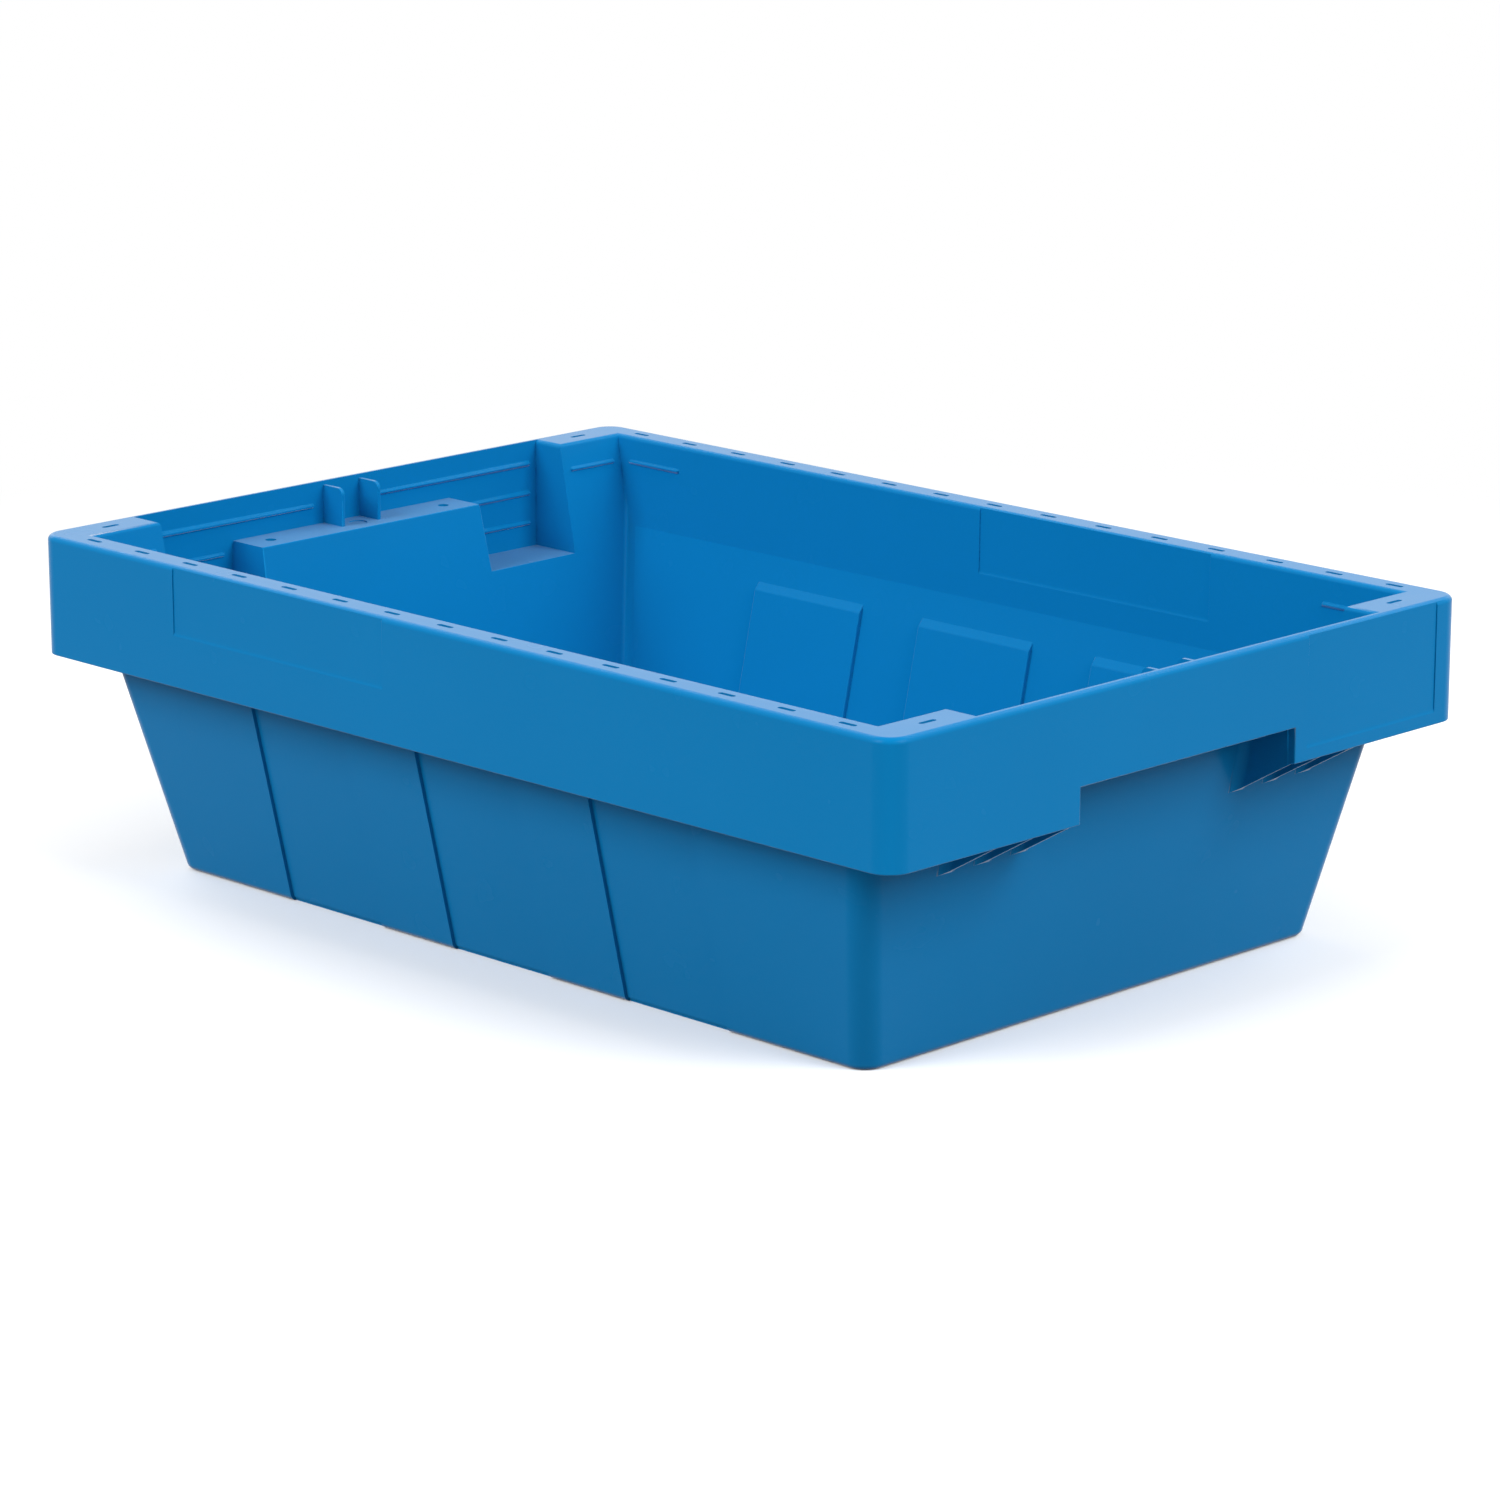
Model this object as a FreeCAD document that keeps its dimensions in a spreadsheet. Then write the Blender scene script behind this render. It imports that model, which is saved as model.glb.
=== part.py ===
import FreeCAD, Part
import math
import os

import Sketcher

# Stack and nest container, injection moulded in one piece.
# X runs along the long side, Y along the short side, +Z up.
# The origin is the middle of the base, on the surface that it stands on.

# Driving sizes in millimetres. Each one is a cell of the sheet "sizes".
SIZES = {
    # Overall form
    "overall_height": 173.0,
    "rim_length": 594.0,
    "rim_width": 400.0,
    "rim_height": 61.8,
    "rim_corner": 12.0,
    "rim_top_round": 3.0,
    "rim_top_wall": 3.6,
    "skirt_wall": 4.0,
    # Tub, outside: at the foot, at the break in the long walls, and at the top.
    # The end walls keep one slope from the foot to the top.
    "foot_length": 485.8,
    "foot_width": 316.0,
    "break_height": 123.6,
    "break_width": 372.2,
    "top_length": 554.7,
    "top_width": 373.8,
    "tub_corner": 12.0,
    "foot_round": 4.0,
    # Tub, inside
    "tub_wall": 3.8,
    "floor_wall": 4.0,
    "inner_corner": 5.0,
    "floor_round": 5.0,
    "mouth_round": 2.4,
    # Stepped end walls: ledge in the middle, a pocket on each side of it
    "ledge_depth": 22.7,
    "ledge_width": 152.0,
    "ledge_wall": 3.6,
    "pocket_depth": 58.7,
    "pocket_side_slant": 2.0,
    "divider_wall": 2.5,
    "post_span": 279.0,
    "post_wall": 3.6,
    # Grip notch in the end skirts
    "grip_width": 151.0,
    "grip_height": 17.6,
    "grip_slant": 0.3,
    # Gussets under the pockets
    "gusset_wall": 2.5,
    "gusset_drop": 21.1,
    "gusset_count": 3,
    "gusset_pitch": 24.6,
    # Drain slots in the rim's top
    "slot_pitch": 37.5,
    "slot_count": 15,
    "slot_length": 10.4,
    "slot_width": 2.8,
    "slot_row_span": 382.0,
    "post_slot_length_span": 568.6,
    "post_slot_width_span": 326.8,
    # Long wall panels, sunk outside and raised inside
    "panel_pitch": 120.6,
    "panel_count": 3,
    "panel_width": 78.0,
    "panel_rise": 2.4,
    "panel_head_drop": 64.3,
    "panel_head_slope": 4.0,
    "recess_width": 68.0,
    "recess_depth": 2.8,
    # Fins on the ledge
    "fin_spacing": 25.0,
    "fin_wall": 2.0,
    "fin_reach": 15.0,
    "fin_top_gap": 2.3,
    "fin_round": 4.0,
    # Holes in the ledge
    "ledge_hole": 6.0,
    "ledge_hole_spacing": 121.0,
    "ledge_hole_setback": 12.0,
    "ledge_dimple": 10.0,
    "dimple_depth": 0.5,
    # Beads on the inner faces
    "bead_width": 3.2,
    "bead_rise": 1.4,
    "bead_draft": 25.0,
    "bead_chamfer": 1.0,
    "bead_drop": 12.4,
    "bead_pitch": 16.5,
    "long_bead_start": 20.0,
    "bead_end_gap": 4.0,
    "post_bead_drop": 14.0,
    "post_bead_start": 144.5,
    "post_bead_end": 178.0,
    "side_bead_start": 224.4,
    "side_bead_end": 264.0,
    # Shallow fields for labels
    "label_depth": 0.6,
    "side_label_middle": 113.0,
    "side_label_width": 155.6,
    "side_label_height": 35.4,
    "inner_label_middle": 75.0,
    "end_label_middle": 132.5,
    "end_label_width": 96.6,
    "end_label_height": 55.6,
}

# Points of a sketch item, and the sketch's own origin
START, END, CENTRE = 1, 2, 3
ORIGIN = -1
NEAR = 1e-3
QUARTER_TURN = math.pi / 2

# How far a cut runs past the face that it opens
CUT_MARGIN = 5.0


class Size:
    """A length with its value and the sheet formula that gives it."""

    def __init__(self, value, formula):
        self.value = float(value)
        self.formula = formula

    def _join(self, sign, other, value):
        return Size(value, f"({self.formula} {sign} {as_size(other).formula})")

    def __add__(self, other):
        return self._join("+", other, self.value + as_size(other).value)

    def __sub__(self, other):
        return self._join("-", other, self.value - as_size(other).value)

    def __mul__(self, other):
        return self._join("*", other, self.value * as_size(other).value)

    def __truediv__(self, other):
        return self._join("/", other, self.value / as_size(other).value)

    def __neg__(self):
        return Size(-self.value, f"(-{self.formula})")


def as_size(number):
    """A plain number as a size with no cell behind it."""
    if isinstance(number, Size):
        return number
    return Size(number, f"{number}")


def make_sheet(document):
    """Sheet with one named cell for each driving size."""
    sheet = document.addObject("Spreadsheet::Sheet", "sizes")
    for row, (name, value) in enumerate(SIZES.items(), start=1):
        sheet.set(f"A{row}", name)
        sheet.set(f"B{row}", str(value))
        sheet.setAlias(f"B{row}", name)
    return {name: Size(value, f"sizes.{name}") for name, value in SIZES.items()}


def origin_plane(body, role):
    """One of the body's own origin planes."""
    return next(item for item in body.Origin.OriginFeatures if item.Role == role)


def sketch_on(body, role, name, offset=None):
    """Sketch on an origin plane, or beside it by an offset along its normal."""
    sketch = body.newObject("Sketcher::SketchObject", name)
    sketch.AttachmentSupport = [(origin_plane(body, role), "")]
    sketch.MapMode = "FlatFace"
    if offset is not None:
        sketch.setExpression("AttachmentOffset.Base.z", offset.formula)
    return sketch


def drive(sketch, kind, *where, size):
    """Constraint whose value follows a size."""
    index = sketch.addConstraint(Sketcher.Constraint(kind, *where, size.value))
    sketch.setExpression(f"Constraints[{index}]", size.formula)


def pin(sketch, item, point, x, y):
    """Hold a point of a sketch item at a place measured from the origin."""
    drive(sketch, "DistanceX", ORIGIN, START, item, point, size=x)
    drive(sketch, "DistanceY", ORIGIN, START, item, point, size=y)


def add_polygon(sketch, corners):
    """Closed polygon through corners given as pairs of sizes."""
    points = [FreeCAD.Vector(x.value, y.value, 0) for x, y in corners]
    first = sketch.GeometryCount
    count = len(points)
    for index in range(count):
        sketch.addGeometry(Part.LineSegment(points[index], points[(index + 1) % count]))
    for index, (x, y) in enumerate(corners):
        line = first + index
        previous = first + (index - 1) % count
        sketch.addConstraint(Sketcher.Constraint("Coincident", previous, END, line, START))
        pin(sketch, line, START, x, y)


def add_arc(sketch, x, y, radius, start_turn):
    """Quarter arc, counter-clockwise from a quarter turn number."""
    circle = Part.Circle(FreeCAD.Vector(x.value, y.value, 0), FreeCAD.Vector(0, 0, 1), radius.value)
    start = start_turn * QUARTER_TURN
    index = sketch.addGeometry(Part.ArcOfCircle(circle, start, start + QUARTER_TURN))
    pin(sketch, index, CENTRE, x, y)
    drive(sketch, "Radius", index, size=radius)
    return index


def add_rounded_rectangle(sketch, half_x, half_y, radius):
    """Rectangle about the sketch's origin with equal round corners."""
    x, y, r = half_x.value, half_y.value, radius.value
    vector = FreeCAD.Vector
    sides = [
        (vector(r - x, -y), vector(x - r, -y)),
        (vector(x, r - y), vector(x, y - r)),
        (vector(x - r, y), vector(r - x, y)),
        (vector(-x, y - r), vector(-x, r - y)),
    ]
    lines = [sketch.addGeometry(Part.LineSegment(start, end)) for start, end in sides]
    middle_x = half_x - radius
    middle_y = half_y - radius
    arcs = [
        add_arc(sketch, middle_x, -middle_y, radius, 3),
        add_arc(sketch, middle_x, middle_y, radius, 0),
        add_arc(sketch, -middle_x, middle_y, radius, 1),
        add_arc(sketch, -middle_x, -middle_y, radius, 2),
    ]
    for index, arc in enumerate(arcs):
        following = lines[(index + 1) % 4]
        sketch.addConstraint(Sketcher.Constraint("Tangent", lines[index], END, arc, START))
        sketch.addConstraint(Sketcher.Constraint("Tangent", arc, END, following, START))


def add_slot(sketch, x, y, length, width, along_x):
    """Oblong with round ends about a point."""
    radius = width / 2
    reach = length / 2 - radius
    if along_x:
        ends = [(x - reach, y), (x + reach, y)]
        turns = [1, 3]
    else:
        ends = [(x, y - reach), (x, y + reach)]
        turns = [2, 0]
    arcs = []
    for (end_x, end_y), turn in zip(ends, turns):
        centre = FreeCAD.Vector(end_x.value, end_y.value, 0)
        circle = Part.Circle(centre, FreeCAD.Vector(0, 0, 1), radius.value)
        arc = Part.ArcOfCircle(circle, turn * QUARTER_TURN, (turn + 2) * QUARTER_TURN)
        index = sketch.addGeometry(arc)
        pin(sketch, index, CENTRE, end_x, end_y)
        drive(sketch, "Radius", index, size=radius)
        arcs.append(index)
    for start_arc, end_arc in (arcs, arcs[::-1]):
        start = sketch.getPoint(start_arc, END)
        end = sketch.getPoint(end_arc, START)
        line = sketch.addGeometry(Part.LineSegment(start, end))
        sketch.addConstraint(Sketcher.Constraint("Tangent", start_arc, END, line, START))
        sketch.addConstraint(Sketcher.Constraint("Tangent", line, END, end_arc, START))


def add_bar(sketch, x, y, length, width, chamfer):
    """Long bar along the sketch's x axis, with chamfered ends."""
    far = length / 2
    wide = width / 2
    outline = [
        (x - far + chamfer, y - wide),
        (x + far - chamfer, y - wide),
        (x + far, y - wide + chamfer),
        (x + far, y + wide - chamfer),
        (x + far - chamfer, y + wide),
        (x - far + chamfer, y + wide),
        (x - far, y + wide - chamfer),
        (x - far, y - wide + chamfer),
    ]
    add_polygon(sketch, outline)


def add_circle(sketch, x, y, diameter):
    """Circle about a point."""
    centre = FreeCAD.Vector(x.value, y.value, 0)
    circle = Part.Circle(centre, FreeCAD.Vector(0, 0, 1), diameter.value / 2)
    index = sketch.addGeometry(circle)
    pin(sketch, index, CENTRE, x, y)
    drive(sketch, "Diameter", index, size=diameter)


def extrude(body, kind, name, sketch, length, symmetric=False, reverse=False):
    """Pad or pocket of a sketch."""
    feature = body.newObject(f"PartDesign::{kind}", name)
    feature.Profile = sketch
    feature.setExpression("Length", length.formula)
    feature.SideType = "Symmetric" if symmetric else "One side"
    feature.Reversed = reverse
    return feature


def wedge(body, kind, name, heights, half_lengths, half_widths):
    """Block about the upright axis, with its own half sizes at the low and the high end."""
    feature = body.newObject(f"PartDesign::{kind}Wedge", name)
    feature.AttachmentSupport = [(origin_plane(body, "XZ_Plane"), "")]
    feature.MapMode = "FlatFace"
    low_x, high_x = half_lengths
    low_y, high_y = half_widths
    limits = {
        "Ymin": heights[0],
        "Ymax": heights[1],
        "Xmin": -low_x,
        "Xmax": low_x,
        "Zmin": -low_y,
        "Zmax": low_y,
        "X2min": -high_x,
        "X2max": high_x,
        "Z2min": -high_y,
        "Z2max": high_y,
    }
    for limit, size in limits.items():
        setattr(feature, limit, size.value)
        feature.setExpression(limit, size.formula)
    return feature


def mirror(body, name, features, roles):
    """Copies of features across one or both upright origin planes."""
    pattern = body.newObject("PartDesign::MultiTransform", name)
    pattern.Originals = features
    steps = []
    for role in roles:
        step = body.newObject("PartDesign::Mirrored", f"{name}_{role}")
        step.MirrorPlane = (origin_plane(body, role), [""])
        steps.append(step)
    pattern.Transformations = steps
    body.Tip = pattern
    return pattern


def row_step(body, name, role, count, pitch):
    """Step of a pattern: a row along an origin axis, spread by a pitch."""
    step = body.newObject("PartDesign::LinearPattern", name)
    step.Direction = (origin_plane(body, role), [""])
    step.Mode = "Spacing"
    step.setExpression("Offset", pitch.formula)
    step.setExpression("Occurrences", count.formula)
    return step


def edges_where(shape, test):
    """Names of the edges whose middle point and box pass a test."""
    names = []
    for index, edge in enumerate(shape.Edges, start=1):
        middle = edge.valueAt((edge.FirstParameter + edge.LastParameter) / 2)
        if test(middle, edge.BoundBox):
            names.append(f"Edge{index}")
    return names


def round_edges(body, name, base, radius, test):
    """Fillet on the edges of a feature that pass a test."""
    body.Document.recompute()
    feature = body.newObject("PartDesign::Fillet", name)
    feature.Base = (base, edges_where(base.Shape, test))
    feature.setExpression("Radius", radius.formula)
    return feature


class Container:
    """The container's features, in the order in which the form is built up."""

    def __init__(self, document, sizes):
        self.document = document
        self.size = sizes
        self.body = document.addObject("PartDesign::Body", "container")
        self.body.Label = "container"
        self.zero = Size(0, "0")
        self.rim_bottom = self.overall_height - self.rim_height

    def __getattr__(self, name):
        try:
            return self.__dict__["size"][name]
        except KeyError as error:
            raise AttributeError(name) from error

    def half_length(self, height, inset):
        """Half length of the tub at a height, on its end walls' one slope."""
        run = (self.top_length - self.foot_length) / 2
        return self.foot_length / 2 + run * height / self.overall_height - inset

    def half_width(self, height, inset):
        """Half width of the tub at a height below the break."""
        run = (self.break_width - self.foot_width) / 2
        return self.foot_width / 2 + run * height / self.break_height - inset

    def band_half_width(self, height, inset):
        """Half width of the tub at a height above the break."""
        rise = (height - self.break_height) / (self.overall_height - self.break_height)
        run = (self.top_width - self.break_width) / 2
        return self.break_width / 2 + run * rise - inset

    def tub_block(self, kind, name, low, high, inset):
        """Part of the tub's form between two heights, moved in by an inset."""
        waist = self.break_height
        width_at = self.half_width if high.value <= waist.value else self.band_half_width
        return wedge(
            self.body, kind, name, (low, high),
            (self.half_length(low, inset), self.half_length(high, inset)),
            (width_at(low, inset), width_at(high, inset)),
        )

    def build_tub(self):
        """Outer form of the tub, with its rounded corners and foot."""
        none = self.zero
        self.tub_block("Additive", "tub", none, self.break_height, none)
        band = self.tub_block("Additive", "band", self.break_height, self.overall_height, none)

        def upright(middle, box):
            return box.ZLength > self.tub_corner.value

        corners = round_edges(self.body, "tub_corners", band, self.tub_corner, upright)

        def at_foot(middle, box):
            return box.ZMax < NEAR

        round_edges(self.body, "foot_edge", corners, self.foot_round, at_foot)

    def build_rim(self):
        """Top plate and hanging skirt, rounded along the outer top edge."""
        half_x = self.rim_length / 2
        half_y = self.rim_width / 2
        skirt = sketch_on(self.body, "XY_Plane", "skirt_outline", self.rim_bottom)
        add_rounded_rectangle(skirt, half_x, half_y, self.rim_corner)
        add_rounded_rectangle(
            skirt, half_x - self.skirt_wall, half_y - self.skirt_wall, self.rim_corner - self.skirt_wall
        )
        extrude(self.body, "Pad", "skirt", skirt, self.rim_height)
        plate = sketch_on(self.body, "XY_Plane", "plate_outline", self.overall_height)
        add_rounded_rectangle(plate, half_x, half_y, self.rim_corner)
        pad = extrude(self.body, "Pad", "top_plate", plate, self.rim_top_wall, reverse=True)
        top = self.overall_height.value
        reach_x = half_x.value - self.rim_corner.value
        reach_y = half_y.value - self.rim_corner.value

        def on_outer_top(middle, box):
            return box.ZMin > top - NEAR and (abs(middle.x) > reach_x or abs(middle.y) > reach_y)

        round_edges(self.body, "rim_top_round", pad, self.rim_top_round, on_outer_top)

    def build_end_walls(self):
        """Thickness of the stepped end walls, from one end to the other."""
        pocket_floor = self.overall_height - self.pocket_depth
        post_out = self.post_span / 2 + self.post_wall
        ledge_under = self.overall_height - self.ledge_depth - self.ledge_wall
        grip_top = self.ledge_width / 2 - self.divider_wall
        grip_low = grip_top + self.pocket_side_slant
        under = pocket_floor - self.ledge_wall
        sketch = sketch_on(self.body, "YZ_Plane", "end_wall_outline")
        half = [
            (grip_top, ledge_under),
            (grip_low, under),
            (post_out, under),
            (post_out, self.overall_height - self.rim_top_wall / 2),
        ]
        add_polygon(sketch, half + [(-y, z) for y, z in half[::-1]])
        length = self.rim_length - self.skirt_wall
        extrude(self.body, "Pad", "end_walls", sketch, length, symmetric=True)

    def build_gussets(self):
        """Three triangular gussets under each pocket."""
        low = self.rim_bottom - self.gusset_drop
        high = self.overall_height - self.pocket_depth - self.ledge_wall / 2
        skirt_face = self.rim_length / 2 - self.skirt_wall
        bite = self.tub_wall / 2
        middle = self.ledge_width / 2 + self.pocket_side_slant - self.gusset_wall / 2
        sketch = sketch_on(self.body, "XZ_Plane", "gusset_outline", -middle)
        add_polygon(sketch, [
            (self.half_length(low, bite), low),
            (skirt_face + self.skirt_wall / 2, self.rim_bottom),
            (skirt_face + self.skirt_wall / 2, high),
            (self.half_length(high, bite), high),
        ])
        gusset = extrude(self.body, "Pad", "gusset", sketch, self.gusset_wall, symmetric=True)
        pattern = self.body.newObject("PartDesign::MultiTransform", "gussets")
        pattern.Originals = [gusset]
        step = row_step(self.body, "gusset_row", "Y_Axis", self.gusset_count, self.gusset_pitch)
        sides = []
        for role in ("XZ_Plane", "YZ_Plane"):
            side = self.body.newObject("PartDesign::Mirrored", f"gussets_{role}")
            side.MirrorPlane = (origin_plane(self.body, role), [""])
            sides.append(side)
        pattern.Transformations = [step] + sides
        self.body.Tip = pattern

    def cut_cavity(self):
        """Inside of the tub, from the floor up through the rim."""
        floor = self.floor_wall
        wall = self.tub_wall
        top = self.overall_height
        self.tub_block("Subtractive", "cavity", floor, self.break_height, wall)
        mouth = self.tub_block("Subtractive", "mouth", self.break_height, top, wall)
        waist = self.break_height.value
        inside_x = self.half_length(self.break_height, wall).value + NEAR
        inside_y = self.half_width(self.break_height, wall).value + NEAR

        def inner_corner(middle, box):
            inside = abs(middle.x) < inside_x and abs(middle.y) < inside_y
            return inside and box.ZMax < waist + NEAR and box.ZMin > floor.value - NEAR and box.ZLength > wall.value

        corners = round_edges(self.body, "cavity_corners", mouth, self.inner_corner, inner_corner)
        level = floor.value

        def on_floor(middle, box):
            return abs(box.ZMin - level) < NEAR and abs(box.ZMax - level) < NEAR

        round_edges(self.body, "floor_edge", corners, self.floor_round, on_floor)

    def cut_end_openings(self):
        """Open space over the ledges and pockets, up to the thin outer wall."""
        top = self.overall_height
        post = self.post_span / 2
        ledge = self.ledge_width / 2
        pocket_floor = top - self.pocket_depth
        over = top + CUT_MARGIN
        half = [
            (ledge, top - self.ledge_depth),
            (ledge + self.pocket_side_slant, pocket_floor),
            (post, pocket_floor),
            (post, over),
        ]
        sketch = sketch_on(self.body, "YZ_Plane", "end_opening_outline")
        add_polygon(sketch, half + [(-y, z) for y, z in half[::-1]])
        length = self.rim_length - self.skirt_wall * 2
        opening = extrude(self.body, "Pocket", "end_openings", sketch, length, symmetric=True)
        level = top.value
        reach_x = length.value / 2 - NEAR
        reach_y = (self.top_width / 2 - self.tub_wall).value + NEAR

        def on_mouth(middle, box):
            flat = abs(box.ZMin - level) < NEAR and abs(box.ZMax - level) < NEAR
            return flat and abs(middle.x) < reach_x and abs(middle.y) < reach_y

        round_edges(self.body, "mouth_edge", opening, self.mouth_round, on_mouth)

    def cut_grips(self):
        """Notch in the lower edge of each end skirt, over the hollow under the ledge."""
        low = self.rim_bottom
        half_low = self.grip_width / 2 + self.grip_slant
        outer = self.rim_length / 2 + CUT_MARGIN
        sketch = sketch_on(self.body, "YZ_Plane", "grip_outline", outer)
        half = [
            (self.grip_width / 2, low + self.grip_height),
            (half_low, low - CUT_MARGIN),
        ]
        add_polygon(sketch, half + [(-y, z) for y, z in half[::-1]])
        grip = extrude(self.body, "Pocket", "grip", sketch, self.skirt_wall + CUT_MARGIN)
        mirror(self.body, "grips", [grip], ["YZ_Plane"])

    def cut_slots(self):
        """Rows of slots through the long rims and one slot through each corner post."""
        depth = self.rim_top_wall + CUT_MARGIN
        first = -self.slot_pitch * (self.slot_count - 1) / 2
        sketch = sketch_on(self.body, "XY_Plane", "rim_slot_outline", self.overall_height)
        add_slot(sketch, first, self.slot_row_span / 2, self.slot_length, self.slot_width, True)
        slot = extrude(self.body, "Pocket", "rim_slot", sketch, depth)
        pattern = self.body.newObject("PartDesign::MultiTransform", "rim_slots")
        pattern.Originals = [slot]
        row = row_step(self.body, "rim_slot_row", "X_Axis", self.slot_count, self.slot_pitch)
        side = self.body.newObject("PartDesign::Mirrored", "rim_slot_sides")
        side.MirrorPlane = (origin_plane(self.body, "XZ_Plane"), [""])
        pattern.Transformations = [row, side]
        self.body.Tip = pattern
        sketch = sketch_on(self.body, "XY_Plane", "post_slot_outline", self.overall_height)
        add_slot(
            sketch, self.post_slot_length_span / 2, self.post_slot_width_span / 2,
            self.slot_length, self.slot_width, False,
        )
        slot = extrude(self.body, "Pocket", "post_slot", sketch, depth)
        mirror(self.body, "post_slots", [slot], ["YZ_Plane", "XZ_Plane"])

    def build_panels(self):
        """Panels of the long walls, sunk on the outside and raised on the inside."""
        foot = self.zero - CUT_MARGIN
        start = -self.panel_pitch * (self.panel_count - 1) / 2
        head = self.overall_height - self.panel_head_drop
        shoulder = head - self.panel_head_slope
        deep = self.recess_depth
        sketch = sketch_on(self.body, "YZ_Plane", "recess_outline", start)
        add_polygon(sketch, [
            (self.half_width(foot, deep), foot),
            (self.half_width(foot, deep) + CUT_MARGIN * 2, foot),
            (self.half_width(head, 0) + CUT_MARGIN, head),
            (self.half_width(head, 0), head),
            (self.half_width(shoulder, deep), shoulder),
        ])
        recess = extrude(self.body, "Pocket", "recess", sketch, self.recess_width, symmetric=True)
        self.repeat_panels("recesses", recess)
        low = self.floor_wall / 2
        wall = self.tub_wall
        rise = wall + self.panel_rise
        sketch = sketch_on(self.body, "YZ_Plane", "panel_outline", start)
        add_polygon(sketch, [
            (self.half_width(low, wall / 2), low),
            (self.half_width(head, wall / 2), head),
            (self.half_width(head, wall), head),
            (self.half_width(shoulder, rise), shoulder),
            (self.half_width(low, rise), low),
        ])
        panel = extrude(self.body, "Pad", "panel", sketch, self.panel_width, symmetric=True)
        self.repeat_panels("panels", panel)

    def repeat_panels(self, name, feature):
        """Row of a panel feature on both long walls."""
        pattern = self.body.newObject("PartDesign::MultiTransform", name)
        pattern.Originals = [feature]
        row = row_step(self.body, f"{name}_row", "X_Axis", self.panel_count, self.panel_pitch)
        side = self.body.newObject("PartDesign::Mirrored", f"{name}_sides")
        side.MirrorPlane = (origin_plane(self.body, "XZ_Plane"), [""])
        pattern.Transformations = [row, side]
        self.body.Tip = pattern

    def build_fins(self):
        """Two upright fins on each ledge, against the thin outer wall."""
        wall_face = self.rim_length / 2 - self.skirt_wall
        ledge = self.overall_height - self.ledge_depth
        low = ledge - self.ledge_wall / 2
        tip = wall_face - self.fin_reach
        high = self.overall_height - self.fin_top_gap
        root = wall_face + self.skirt_wall / 2
        bend_x = tip + self.fin_round
        bend_z = high - self.fin_round
        sketch = sketch_on(self.body, "XZ_Plane", "fin_outline", -(self.fin_spacing / 2))
        places = [(bend_x, high), (root, high), (root, low), (tip, low), (tip, bend_z)]
        points = [FreeCAD.Vector(x.value, z.value, 0) for x, z in places]
        lines = [sketch.addGeometry(Part.LineSegment(*pair)) for pair in zip(points, points[1:])]
        for line, (x, z) in zip(lines[1:], places[1:]):
            pin(sketch, line, START, x, z)
        for line, following in zip(lines, lines[1:]):
            sketch.addConstraint(Sketcher.Constraint("Coincident", line, END, following, START))
        bend = add_arc(sketch, bend_x, bend_z, self.fin_round, 1)
        sketch.addConstraint(Sketcher.Constraint("Tangent", bend, START, lines[0], START))
        sketch.addConstraint(Sketcher.Constraint("Tangent", lines[-1], END, bend, END))
        fin = extrude(self.body, "Pad", "fin", sketch, self.fin_wall, symmetric=True)
        mirror(self.body, "fins", [fin], ["XZ_Plane", "YZ_Plane"])

    def cut_ledge_holes(self):
        """Two through holes and a shallow dimple in each ledge."""
        x = self.rim_length / 2 - self.skirt_wall - self.ledge_hole_setback
        ledge = self.overall_height - self.ledge_depth
        sketch = sketch_on(self.body, "XY_Plane", "ledge_hole_outline", ledge)
        for side in (-1, 1):
            add_circle(sketch, x, self.ledge_hole_spacing / 2 * side, self.ledge_hole)
        holes = extrude(self.body, "Pocket", "ledge_hole_pair", sketch, self.ledge_wall + CUT_MARGIN / 2)
        sketch = sketch_on(self.body, "XY_Plane", "dimple_outline", ledge)
        add_circle(sketch, x, self.zero, self.ledge_dimple)
        dimple = extrude(self.body, "Pocket", "ledge_dimple_cut", sketch, self.dimple_depth)
        mirror(self.body, "ledge_holes", [holes, dimple], ["YZ_Plane"])

    def bead(self, name, plane, face, middle, length, level):
        """Long bead with chamfered ends and drafted sides, standing on an inner face."""
        bite = self.bead_rise / 2
        sketch = sketch_on(self.body, plane, f"{name}_outline", face + bite)
        add_bar(sketch, middle, level, length, self.bead_width, self.bead_chamfer)
        bead = extrude(self.body, "Pad", name, sketch, self.bead_rise + bite, reverse=True)
        bead.setExpression("TaperAngle", (-self.bead_draft).formula)
        return bead

    def build_beads(self):
        """Beads on the thin outer walls, the corner posts and the long walls."""
        top = self.overall_height
        wall_face = self.rim_length / 2 - self.skirt_wall
        end = self.post_span / 2 - self.bead_end_gap
        runs = [("long_bead", self.long_bead_start, 0)]
        short_start = self.ledge_width / 2 + self.pocket_side_slant + self.bead_end_gap
        runs += [(f"pocket_bead_{row}", short_start, row) for row in (1, 2)]
        beads = []
        for name, start, row in runs:
            level = top - self.bead_drop - self.bead_pitch * row
            middle = (start + end) / 2
            beads.append(self.bead(name, "YZ_Plane", wall_face, middle, end - start, level))
        level = top - self.post_bead_drop
        middle = (self.post_bead_start + self.post_bead_end) / 2
        length = self.post_bead_end - self.post_bead_start
        face = self.half_length(level, self.tub_wall)
        beads.append(self.bead("post_bead", "YZ_Plane", face, middle, length, level))
        middle = (self.side_bead_start + self.side_bead_end) / 2
        length = self.side_bead_end - self.side_bead_start
        face = self.band_half_width(level, self.tub_wall)
        beads.append(self.bead("side_bead", "XZ_Plane", face, middle, length, level))
        mirror(self.body, "beads", beads, ["YZ_Plane", "XZ_Plane"])

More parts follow.
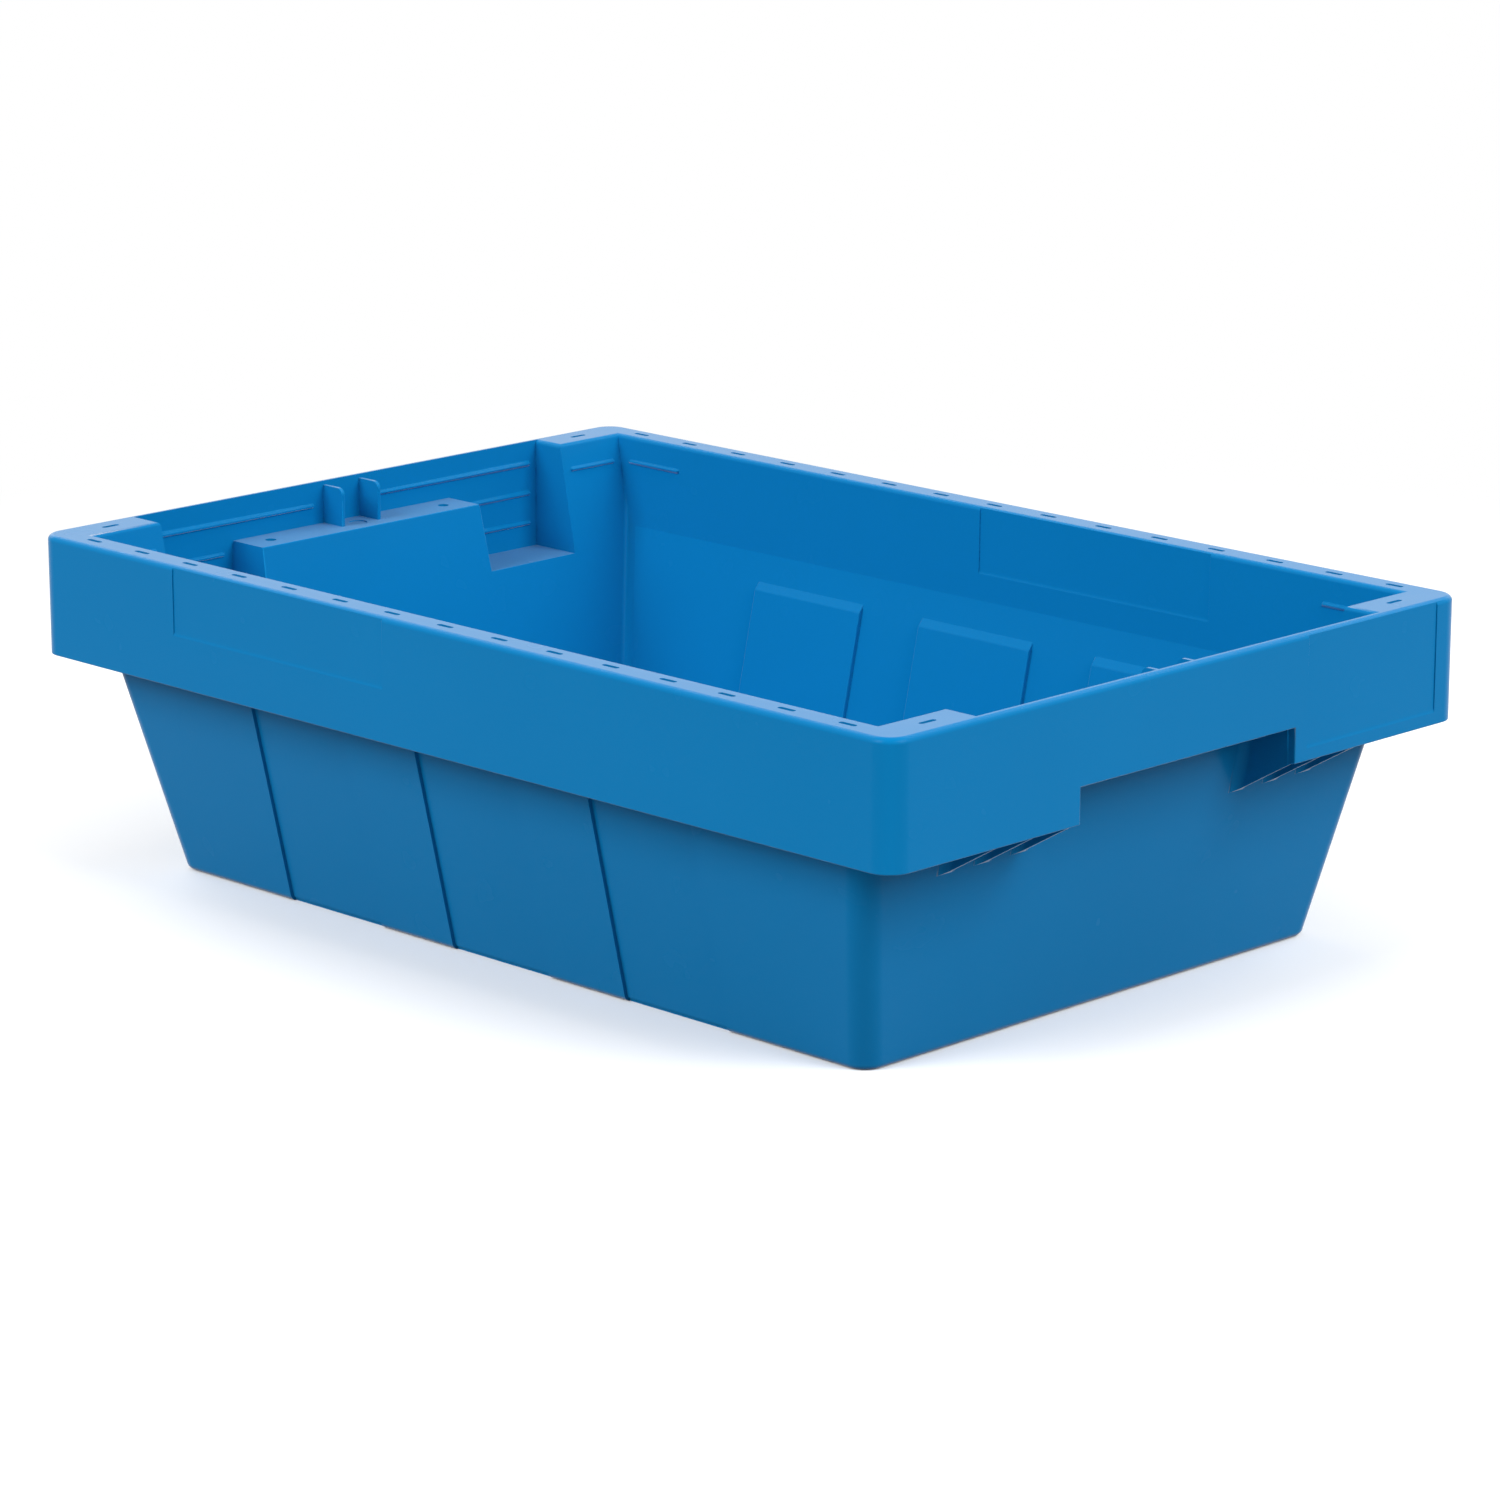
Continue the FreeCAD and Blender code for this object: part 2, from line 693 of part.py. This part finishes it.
    def add_label_fields(self):
        """Shallow label fields on one long side, inside the other, and on one end."""
        top = self.overall_height
        deep = self.label_depth
        side_face = self.rim_width / 2
        high = top + CUT_MARGIN
        sketch = sketch_on(self.body, "XZ_Plane", "side_label_outline", side_face + CUT_MARGIN)
        half = self.side_label_width / 2
        low = top - self.side_label_height
        left = -self.side_label_middle - half
        right = -self.side_label_middle + half
        add_polygon(sketch, [(left, low), (right, low), (right, high), (left, high)])
        extrude(self.body, "Pocket", "side_label", sketch, deep + CUT_MARGIN)
        sketch = sketch_on(self.body, "YZ_Plane", "end_label_outline", self.rim_length / 2 + CUT_MARGIN)
        half = self.end_label_width / 2
        low = top - self.end_label_height
        near = self.end_label_middle - half
        far = self.end_label_middle + half
        add_polygon(sketch, [(near, low), (far, low), (far, high), (near, high)])
        extrude(self.body, "Pocket", "end_label", sketch, deep + CUT_MARGIN)
        sketch = sketch_on(self.body, "YZ_Plane", "inner_label_outline", self.inner_label_middle)
        low = top - self.side_label_height
        wall = self.tub_wall
        add_polygon(sketch, [
            (self.band_half_width(low, wall) - CUT_MARGIN, low),
            (self.band_half_width(low, wall - deep), low),
            (self.band_half_width(high, wall - deep), high),
            (self.band_half_width(high, wall) - CUT_MARGIN, high),
        ])
        extrude(self.body, "Pocket", "inner_label", sketch, self.side_label_width, symmetric=True)

    def build(self):
        """Build every feature and return the finished body."""
        self.build_tub()
        self.build_rim()
        self.build_end_walls()
        self.build_gussets()
        self.cut_cavity()
        self.cut_end_openings()
        details = len(self.body.Group)
        self.cut_grips()
        self.build_fins()
        self.cut_ledge_holes()
        self.build_beads()
        self.build_panels()
        self.cut_slots()
        self.add_label_fields()
        self.merge_faces_once(self.body.Group[details:])
        self.document.recompute()
        return self.body

    def merge_faces_once(self, features):
        """Join faces that share a plane at the last feature only."""
        for feature in features:
            if hasattr(feature, "Refine"):
                feature.Refine = feature is features[-1]


def check(document):
    """Stop if any object failed or the body is not one sound solid."""
    for item in document.Objects:
        if "Invalid" in item.State or "Error" in item.State:
            raise RuntimeError(f"{item.Name} failed: {item.State}")
    for item in document.Objects:
        if item.TypeId == "PartDesign::Body":
            shape = item.Shape
            if shape.isNull() or not shape.isValid() or len(shape.Solids) != 1:
                raise RuntimeError(f"{item.Label} is not one sound solid")


def main():
    """Build the document and write each body as a file of its own."""
    document = FreeCAD.newDocument("container")
    sizes = make_sheet(document)
    document.recompute()
    body = Container(document, sizes).build()
    check(document)
    os.makedirs("parts", exist_ok=True)
    body.Shape.exportStep(f"parts/{body.Label}.step")
    box = body.Shape.optimalBoundingBox()
    print(f"{body.Label}: {box.XLength:.1f} x {box.YLength:.1f} x {box.ZLength:.1f} mm")
    print(f"volume {body.Shape.Volume:.0f} mm3, faces {len(body.Shape.Faces)}")


main()
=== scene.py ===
"""Looks of a moulded stack and nest container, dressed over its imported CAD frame."""

import logging
import math
from dataclasses import dataclass
from enum import Enum

import bmesh
import bpy
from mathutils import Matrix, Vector
from mathutils.kdtree import KDTree


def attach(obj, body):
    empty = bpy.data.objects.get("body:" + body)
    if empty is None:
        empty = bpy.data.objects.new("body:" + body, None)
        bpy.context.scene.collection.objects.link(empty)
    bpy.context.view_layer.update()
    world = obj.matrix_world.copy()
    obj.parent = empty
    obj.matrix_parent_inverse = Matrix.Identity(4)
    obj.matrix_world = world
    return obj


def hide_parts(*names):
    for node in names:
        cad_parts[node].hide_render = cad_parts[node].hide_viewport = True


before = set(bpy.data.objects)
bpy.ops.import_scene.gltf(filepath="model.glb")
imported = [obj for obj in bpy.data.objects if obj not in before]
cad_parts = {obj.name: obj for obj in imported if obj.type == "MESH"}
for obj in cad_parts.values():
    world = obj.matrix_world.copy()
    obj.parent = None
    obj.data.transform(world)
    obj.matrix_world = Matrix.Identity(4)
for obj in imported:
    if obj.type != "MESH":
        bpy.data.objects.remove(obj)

LOG = logging.getLogger("container")
MM = 0.001
NOISE_MIDDLE = 0.5
EDGE_WEIGHT = "bevel_weight_edge"

Colour = tuple[float, float, float, float]
Place = tuple[float, float, float]


class Pigment(Enum):
    """Linear colours of the moulded plastic and of the studio."""

    BLUE = (0.0012, 0.181, 0.438, 1.0)
    DEEP_BLUE = (0.0010, 0.176, 0.428, 1.0)
    PAPER = (0.22, 0.22, 0.22, 1.0)
    LIT_PAPER = (0.98, 0.98, 0.98, 1.0)
    WHITE = (1.0, 1.0, 1.0, 1.0)


class Ray(Enum):
    """Rays that show a surface, unlike those that only carry its light."""

    CAMERA = "Is Camera Ray"
    GLOSS = "Is Glossy Ray"
    CLEAR = "Is Transmission Ray"


class Socket:
    """One output of a shader node, on which maths is written as Python expressions."""

    def __init__(self, tree: "ShaderTree", link: bpy.types.NodeSocket | None) -> None:
        """Wrap an output.

        Args:
            tree: the shader that the output belongs to.
            link: the output itself, or none for a closing node.
        """
        self.tree = tree
        self.link = link

    def _math(self, operation: str, *values: "Socket | float") -> "Socket":
        """Add a Math node.

        Args:
            operation: what the node works out.
            values: its inputs, in order.

        Returns:
            The node's result.
        """
        inputs = dict(enumerate(values))
        return self.tree.node("ShaderNodeMath", {"operation": operation}, inputs)

    def __add__(self, other: "Socket | float") -> "Socket":
        """Sum of this and another value."""
        return self._math("ADD", self, other)

    __radd__ = __add__

    def __mul__(self, other: "Socket | float") -> "Socket":
        """Product of this and another value."""
        return self._math("MULTIPLY", self, other)

    __rmul__ = __mul__

    def __sub__(self, other: "Socket | float") -> "Socket":
        """This less another value."""
        return self._math("SUBTRACT", self, other)

    def __rsub__(self, other: "Socket | float") -> "Socket":
        """Another value less this."""
        return self._math("SUBTRACT", other, self)

    def smooth_step(self, low: float, high: float) -> "Socket":
        """Smooth step of this value.

        Args:
            low: the value that gives 0.
            high: the value that gives 1.

        Returns:
            The step, from 0 to 1.
        """
        inputs = {"Value": self, "From Min": low, "From Max": high}
        return self.tree.node("ShaderNodeMapRange", {"interpolation_type": "SMOOTHSTEP"}, inputs)


class ShaderTree:
    """Nodes of a material or of the surroundings, added one by one from Python."""

    # Numbers of the Mix node's colour sockets, whose names its other kinds share.
    FIRST_COLOUR = 6
    SECOND_COLOUR = 7
    MIXED_COLOUR = 2

    def __init__(self, owner: bpy.types.Material | bpy.types.World) -> None:
        """Start with no nodes.

        Args:
            owner: the material or the world that the nodes belong to.
        """
        owner.use_nodes = True
        self.owner = owner
        self.nodes = owner.node_tree.nodes
        self.links = owner.node_tree.links
        self.nodes.clear()

    def node(
        self,
        kind: str,
        settings: dict[str, object] | None = None,
        inputs: dict[int | str, object] | None = None,
        output: int | str = 0,
    ) -> Socket:
        """Add a node with its settings first and then its inputs.

        Args:
            kind: the node's type.
            settings: its settings by name.
            inputs: values or links of its sockets, by name or number.
            output: the output that is wanted.

        Returns:
            That output.
        """
        made = self.nodes.new(kind)
        for key, value in (settings or {}).items():
            setattr(made, key, value)
        for key, value in (inputs or {}).items():
            if isinstance(value, Socket):
                self.links.new(value.link, made.inputs[key])
            else:
                made.inputs[key].default_value = value
        return Socket(self, made.outputs[output] if made.outputs else None)

    def blend(self, factor: Socket, first: Colour, second: Colour) -> Socket:
        """Mix two colours.

        Args:
            factor: 0 for the first colour and 1 for the second.
            first: a colour.
            second: a colour.

        Returns:
            The mixed colour.
        """
        inputs = {"Factor": factor, self.FIRST_COLOUR: first, self.SECOND_COLOUR: second}
        return self.node("ShaderNodeMix", {"data_type": "RGBA"}, inputs, self.MIXED_COLOUR)

    def mix(self, factor: Socket, first: Socket, second: Socket) -> Socket:
        """Mix two shaders.

        Args:
            factor: 0 for the first shader and 1 for the second.
            first: a shader.
            second: a shader.

        Returns:
            The mixed shader.
        """
        return self.node("ShaderNodeMixShader", None, {0: factor, 1: first, 2: second})

    def noise(self, place: Socket, scale: float, detail: float) -> Socket:
        """Noise over the object.

        Args:
            place: the coordinates that it follows.
            scale: how fine it is, per metre.
            detail: how many layers it has.

        Returns:
            The noise, about its middle.
        """
        inputs = {"Vector": place, "Scale": scale, "Detail": detail}
        return self.node("ShaderNodeTexNoise", None, inputs)

    def place(self) -> Socket:
        """Object coordinates."""
        return self.node("ShaderNodeTexCoord", None, None, "Object")

    def seen(self) -> Socket:
        """Tell what is shown from what only gives light.

        Returns:
            1 for the rays that show a surface, and 0 for the others.
        """
        camera, gloss, clear = (self.node("ShaderNodeLightPath", None, None, ray.value) for ray in Ray)
        return (camera + gloss + clear).smooth_step(0.0, 1.0)

    def close(self, kind: str, shader: Socket) -> bpy.types.Material | bpy.types.World:
        """Send a shader to the closing node.

        Args:
            kind: the closing node's type.
            shader: the shader that is shown.

        Returns:
            The finished material or world.
        """
        self.node(kind, None, {"Surface": shader})
        return self.owner


@dataclass(frozen=True)
class MouldedPlastic:
    """Satin polypropylene with an eroded-mould grain and faint flow marks."""

    name: str = "blue_plastic"
    refraction: float = 1.49
    specular: float = 0.045
    sheen: float = 0.62
    sheen_roughness: float = 0.30
    roughness: float = 0.26
    # Patches that are a little more or less glossy.
    roughness_spread: float = 0.08
    patches_per_metre: float = 40.0
    patch_detail: float = 2.0
    # Flow of the melt, a change of colour that is only just there.
    flow_per_metre: float = 7.0
    flow_detail: float = 3.0
    flow_range: tuple[float, float] = (0.35, 0.65)
    # Relief in metres: the mould's grain, and slow waves where thick walls sank.
    relief_detail: float = 1.0
    grain_per_metre: float = 1300.0
    grain_height: float = 0.000012
    wave_per_metre: float = 11.0
    wave_height: float = 0.00004

    def material(self) -> bpy.types.Material:
        """Build the finish.

        Returns:
            The material.
        """
        tree = ShaderTree(bpy.data.materials.new(self.name))
        place = tree.place()
        inputs = {
            "Base Color": self._colour(tree, place),
            "Roughness": self._roughness(tree, place),
            "Normal": self._relief(tree, place),
            "IOR": self.refraction,
            "Specular IOR Level": self.specular,
            "Sheen Weight": self.sheen,
            "Sheen Roughness": self.sheen_roughness,
        }
        plastic = tree.node("ShaderNodeBsdfPrincipled", None, inputs)
        return tree.close("ShaderNodeOutputMaterial", plastic)

    def _colour(self, tree: ShaderTree, place: Socket) -> Socket:
        """Blue that follows the flow of the melt.

        Args:
            tree: the shader that it is added to.
            place: the coordinates.

        Returns:
            The colour.
        """
        flow = tree.noise(place, self.flow_per_metre, self.flow_detail)
        return tree.blend(
            flow.smooth_step(*self.flow_range), Pigment.BLUE.value, Pigment.DEEP_BLUE.value
        )

    def _roughness(self, tree: ShaderTree, place: Socket) -> Socket:
        """Roughness with its patches.

        Args:
            tree: the shader that it is added to.
            place: the coordinates.

        Returns:
            The roughness.
        """
        patches = tree.noise(place, self.patches_per_metre, self.patch_detail)
        return self.roughness + (patches - NOISE_MIDDLE) * self.roughness_spread

    def _relief(self, tree: ShaderTree, place: Socket) -> Socket:
        """Grain and slow waves.

        Args:
            tree: the shader that they are added to.
            place: the coordinates.

        Returns:
            The surface's direction.
        """
        grain = tree.noise(place, self.grain_per_metre, self.relief_detail)
        wave = tree.noise(place, self.wave_per_metre, self.relief_detail)
        height = grain * self.grain_height + wave * self.wave_height
        inputs = {"Strength": 1.0, "Distance": 1.0, "Height": height}
        return tree.node("ShaderNodeBump", None, inputs)


@dataclass(frozen=True)
class PaperSweep:
    """Plain pale floor that the camera sees as white, with the object's shadow on it."""

    name: str = "paper"
    shadow_reach: float = 0.45
    fade_end: float = 1.1

    def material(self) -> bpy.types.Material:
        """Build the finish.

        Returns:
            The material.
        """
        tree = ShaderTree(bpy.data.materials.new(self.name))
        paper = self._matt(tree, Pigment.PAPER)
        lit = self._matt(tree, Pigment.LIT_PAPER)
        glow = {"Color": Pigment.WHITE.value, "Strength": 1.0}
        white = tree.node("ShaderNodeEmission", None, glow)
        away = tree.node("ShaderNodeVectorMath", {"operation": "LENGTH"}, {0: tree.place()}, "Value")
        shown = tree.mix(away.smooth_step(self.shadow_reach, self.fade_end), lit, white)
        return tree.close("ShaderNodeOutputMaterial", tree.mix(tree.seen(), paper, shown))

    def _matt(self, tree: ShaderTree, pigment: Pigment) -> Socket:
        """Matt paper of one colour.

        Args:
            tree: the shader that it is added to.
            pigment: its colour.

        Returns:
            The paper's shader.
        """
        return tree.node("ShaderNodeBsdfDiffuse", None, {"Color": pigment.value})


@dataclass
class ContainerShell:
    """The one moulded piece: a merged copy of the CAD solid with its small edge rounds."""

    node: str = "container"
    body: str = "root"
    # How near points and how flat edges are for the loose triangles to be joined.
    merge: float = 0.002 * MM
    speck: float = 0.03 * MM
    flat: float = math.radians(0.15)
    # Label fields: long shallow steps, whose foot runs out in a slope.
    field_length: float = 50 * MM
    field_slope: float = 2.0 * MM
    facing_up: float = 0.9
    shallow_step: float = 0.9 * MM
    # Turns of an edge between two faces, and the faces' sizes, that tell curves from corners.
    sharp_angle: float = math.radians(50)
    crisp_angle: float = math.radians(24)
    fold_angle: float = math.radians(4)
    broad_face: float = 1500 * MM * MM
    narrow_face: float = 3.0 * MM
    small_detail: float = 12 * MM
    # Widest edge round, and the share of it that an edge gets.
    edge_round: float = 0.9 * MM
    round_steps: int = 2
    full_weight: float = 1.0
    plain_weight: float = 0.5
    shallow_weight: float = 0.08
    # Widths of a face that is a bead's side.
    bead_side: tuple[float, float] = (1.3 * MM, 1.7 * MM)
    # Mouth of a pocket in the first quarter, where the rounds run out to nothing.
    still_spot: Place = (293 * MM, 141 * MM, 172 * MM)
    still_reach: float = 3.5 * MM
    # A surface folds over where it turns by more than this, and its rounds are tried again.
    fold_over: float = math.radians(130)
    fold_reach: float = 1.2 * MM
    passes: int = 4
    shade_weight: int = 60

    def build(self, finish: MouldedPlastic) -> bpy.types.Object:
        """Make the shell and dress it.

        Args:
            finish: the plastic.

        Returns:
            The finished piece, which stands for the CAD node.
        """
        shell = self._copy()
        self._join_faces(shell)
        self._soften_fields(shell)
        self._choose_edges(shell)
        self._round_edges(shell)
        self._shade(shell)
        shell.data.materials.clear()
        shell.data.materials.append(finish.material())
        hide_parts(self.node)
        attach(shell, self.body)
        return shell

    def _copy(self) -> bpy.types.Object:
        """Copy the CAD node's mesh.

        Returns:
            A piece of its own with that mesh.
        """
        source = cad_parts[self.node]
        shell = bpy.data.objects.new("moulded_shell", source.data.copy())
        bpy.context.scene.collection.objects.link(shell)
        return shell

    def _join_faces(self, shell: bpy.types.Object) -> None:
        """Merge the loose triangles and join those that share a plane.

        Args:
            shell: the piece.
        """
        mesh = bmesh.new()
        mesh.from_mesh(shell.data)
        bmesh.ops.remove_doubles(mesh, verts=mesh.verts, dist=self.merge)
        bmesh.ops.dissolve_degenerate(mesh, dist=self.speck, edges=mesh.edges)
        bmesh.ops.dissolve_limit(
            mesh, angle_limit=self.flat, verts=mesh.verts, edges=mesh.edges, use_dissolve_boundaries=False
        )
        open_edges = sum(1 for edge in mesh.edges if not edge.is_manifold)
        LOG.info("shell: %d faces, %d open edges", len(mesh.faces), open_edges)
        mesh.to_mesh(shell.data)
        mesh.free()

    def _soften_fields(self, shell: bpy.types.Object) -> None:
        """Let the foot of each label field run out in a slope, as the mould does.

        Args:
            shell: the piece.
        """
        mesh = bmesh.new()
        mesh.from_mesh(shell.data)
        foot = set()
        for face in mesh.faces:
            long_edges = [edge for edge in face.edges if edge.calc_length() > self.field_length]
            sharp = [edge.calc_face_angle(0.0) > self.sharp_angle for edge in long_edges]
            step = self._width(face) < self.shallow_step and face.normal.z > self.facing_up
            if step and len(sharp) == 2 and all(sharp):
                hollow = [edge for edge in long_edges if not edge.is_convex]
                foot.update(vertex for edge in hollow for vertex in edge.verts)
        for vertex in foot:
            vertex.co.z += self.field_slope
        LOG.info("label fields: %d foot corners", len(foot))
        mesh.to_mesh(shell.data)
        mesh.free()

    def _choose_edges(self, shell: bpy.types.Object) -> None:
        """Say which edges get a round, which stay crisp and which are curves.

        Args:
            shell: the piece.
        """
        mesh = bmesh.new()
        mesh.from_mesh(shell.data)
        weight = mesh.edges.layers.float.new(EDGE_WEIGHT)
        for face in mesh.faces:
            face.smooth = True
        for edge in mesh.edges:
            turn = edge.calc_face_angle(0.0)
            width = min(self._width(face) for face in edge.link_faces)
            area = min(face.calc_area() for face in edge.link_faces)
            length = min(self._longest(face) for face in edge.link_faces)
            curve = turn < self.sharp_angle and width < self.narrow_face
            fold = area > self.broad_face and turn > self.fold_angle
            edge.smooth = curve or (turn < self.crisp_angle and not fold)
            moulded = edge.is_convex or self._is_bead(width)
            corner = moulded and turn > self.crisp_angle and not curve
            if corner and length > self.small_detail and not self._is_still(edge):
                edge[weight] = self._weight(width)
        mesh.to_mesh(shell.data)
        mesh.free()

    def _longest(self, face: bmesh.types.BMFace) -> float:
        """Length of a face's longest edge."""
        return max(edge.calc_length() for edge in face.edges)

    def _width(self, face: bmesh.types.BMFace) -> float:
        """How wide a face is across its longest edge."""
        return face.calc_area() / self._longest(face)

    def _is_bead(self, width: float) -> bool:
        """Whether a face of this width is a bead's side."""
        low, high = self.bead_side
        return low < width < high

    def _is_still(self, edge: bmesh.types.BMEdge) -> bool:
        """Whether an edge is at a pocket's mouth, in any of the four quarters."""
        spot = Vector(self.still_spot)
        ends = (Vector(map(abs, vertex.co)) for vertex in edge.verts)
        return any((end - spot).length < self.still_reach for end in ends)

    def _weight(self, width: float) -> float:
        """How much of the widest round an edge gets.

        Args:
            width: the width of the narrower face beside the edge.

        Returns:
            All of it on the beads, little at the shallow label fields, and half elsewhere.
        """
        if width < self.shallow_step:
            return self.shallow_weight
        return self.full_weight if self._is_bead(width) else self.plain_weight

    def _round_edges(self, shell: bpy.types.Object) -> None:
        """Round the chosen edges as the mould does.

        A round that would fold over at a tight spot is left out there, and the rest is tried again.

        Args:
            shell: the piece.
        """
        chosen = shell.data.copy()
        settings = {
            "width": self.edge_round,
            "segments": self.round_steps,
            "limit_method": "WEIGHT",
            "use_clamp_overlap": False,
        }
        for attempt in range(1, self.passes + 1):
            apply_modifier(shell, "edge_round", "BEVEL", settings)
            folds = self._folds(shell.data)
            LOG.info("rounds, pass %d: %d folds", attempt, len(folds))
            if not folds or attempt == self.passes:
                break
            self._leave_sharp(chosen, folds)
            shell.data = chosen.copy()
        for vertex in shell.data.vertices:
            vertex.co.z = max(vertex.co.z, 0.0)

    def _folds(self, data: bpy.types.Mesh) -> list[Vector]:
        """Find where a surface turns back on itself.

        Args:
            data: the mesh.

        Returns:
            The end points of the edges that fold over.
        """
        mesh = bmesh.new()
        mesh.from_mesh(data)
        bmesh.ops.triangulate(mesh, faces=mesh.faces, quad_method="FIXED", ngon_method="EAR_CLIP")
        folded = [edge for edge in mesh.edges if edge.calc_face_angle(0.0) > self.fold_over]
        points = [vertex.co.copy() for edge in folded for vertex in edge.verts]
        mesh.free()
        return points

    def _leave_sharp(self, data: bpy.types.Mesh, folds: list[Vector]) -> None:
        """Take the round off the edges that end near a fold.

        Args:
            data: the mesh with its chosen edges.
            folds: the points of the folds.
        """
        tree = KDTree(len(folds))
        for number, point in enumerate(folds):
            tree.insert(point, number)
        tree.balance()
        weights = data.attributes[EDGE_WEIGHT].data
        for edge in data.edges:
            gaps = [tree.find(data.vertices[end].co)[-1] for end in edge.vertices]
            if min(gaps) < self.fold_reach:
                weights[edge.index].value = 0.0

    def _shade(self, shell: bpy.types.Object) -> None:
        """Shade each flat face as flat, up to its rounds."""
        settings = {"keep_sharp": True, "weight": self.shade_weight}
        apply_modifier(shell, "flat_faces", "WEIGHTED_NORMAL", settings)


@dataclass
class Camera:
    """The camera at the photograph's place: a long lens, a little above the rim."""

    place_mm: Place = (1876.52, -1871.81, 770.09)
    azimuth: float = 44.8908
    elevation: float = 14.6458
    lens_mm: float = 132.027
    sensor_mm: float = 36.0
    nearest: float = 0.1
    furthest: float = 50.0

    def build(self) -> None:
        """Add the camera and make it the scene's own."""
        data = bpy.data.cameras.new("photo_camera")
        data.sensor_width = self.sensor_mm
        data.lens = self.lens_mm
        data.clip_start = self.nearest
        data.clip_end = self.furthest
        camera = bpy.data.objects.new("photo_camera", data)
        bpy.context.scene.collection.objects.link(camera)
        turn, rise = math.radians(self.azimuth), math.radians(self.elevation)
        level = math.cos(rise)
        back = Vector((math.sin(turn) * level, -math.cos(turn) * level, math.sin(rise)))
        camera.location = Vector(self.place_mm) * MM
        camera.rotation_mode = "QUATERNION"
        camera.rotation_quaternion = (-back).to_track_quat("-Z", "Y")
        bpy.context.scene.camera = camera


@dataclass(frozen=True)
class Lamp:
    """A soft lamp that points at the container, in metres and watts."""

    name: str
    place: Place
    power: float
    size: float = 2.4
    aim: Place = (0.0, 0.0, 0.09)

    def build(self) -> None:
        """Add the lamp."""
        data = bpy.data.lights.new(self.name, "AREA")
        data.size = self.size
        data.energy = self.power
        lamp = bpy.data.objects.new(self.name, data)
        bpy.context.scene.collection.objects.link(lamp)
        lamp.location = self.place
        towards = Vector(self.aim) - lamp.location
        lamp.rotation_mode = "QUATERNION"
        lamp.rotation_quaternion = towards.to_track_quat("-Z", "Y")


@dataclass
class Studio:
    """Pale floor, white surroundings and soft lamps."""

    floor_size: float = 24.0
    surroundings: float = 0.43
    seen_as: float = 1.0
    lamps: tuple[Lamp, ...] = (
        Lamp("key_front", (-0.7, -3.4, 2.6), 148.0),
        Lamp("key_side", (3.4, 0.7, 2.6), 146.0),
        Lamp("back_left", (-3.2, 0.6, 2.2), 40.0),
        Lamp("back_right", (0.6, 3.2, 2.2), 40.0),
    )

    def build(self) -> None:
        """Add the floor, the surroundings and the lamps."""
        self._floor()
        self._surroundings()
        for lamp in self.lamps:
            lamp.build()

    def _floor(self) -> None:
        """Lay the floor."""
        bpy.ops.object.select_all(action="DESELECT")
        bpy.ops.mesh.primitive_plane_add(size=self.floor_size, location=(0, 0, 0))
        floor = bpy.context.active_object
        floor.name = "floor"
        floor.data.materials.append(PaperSweep().material())

    def _surroundings(self) -> None:
        """Light from all round, seen by the camera and by reflections as white."""
        tree = ShaderTree(bpy.data.worlds.new("surroundings"))
        light = self._background(tree, self.surroundings)
        white = self._background(tree, self.seen_as)
        shown = tree.mix(tree.seen(), light, white)
        bpy.context.scene.world = tree.close("ShaderNodeOutputWorld", shown)

    def _background(self, tree: ShaderTree, strength: float) -> Socket:
        """White light from all round.

        Args:
            tree: the surroundings' nodes.
            strength: how bright it is.

        Returns:
            The light's shader.
        """
        inputs = {"Color": Pigment.WHITE.value, "Strength": strength}
        return tree.node("ShaderNodeBackground", None, inputs)


def apply_modifier(piece: bpy.types.Object, name: str, kind: str, settings: dict[str, object]) -> None:
    """Add a modifier to one piece and apply it.

    Args:
        piece: the piece.
        name: the modifier's name.
        kind: its type.
        settings: its settings by name.
    """
    bpy.ops.object.select_all(action="DESELECT")
    piece.select_set(True)
    bpy.context.view_layer.objects.active = piece
    modifier = piece.modifiers.new(name, kind)
    for key, value in settings.items():
        setattr(modifier, key, value)
    bpy.ops.object.modifier_apply(modifier=modifier.name)


def main() -> None:
    """Build the pieces in order."""
    logging.basicConfig(level=logging.INFO, format="%(name)s: %(message)s")
    bpy.context.scene.view_settings.view_transform = "Standard"
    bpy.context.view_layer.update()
    shell = ContainerShell().build(MouldedPlastic())
    LOG.info("%s: %d vertices", shell.name, len(shell.data.vertices))
    Camera().build()
    Studio().build()


if __name__ == "__main__":
    main()
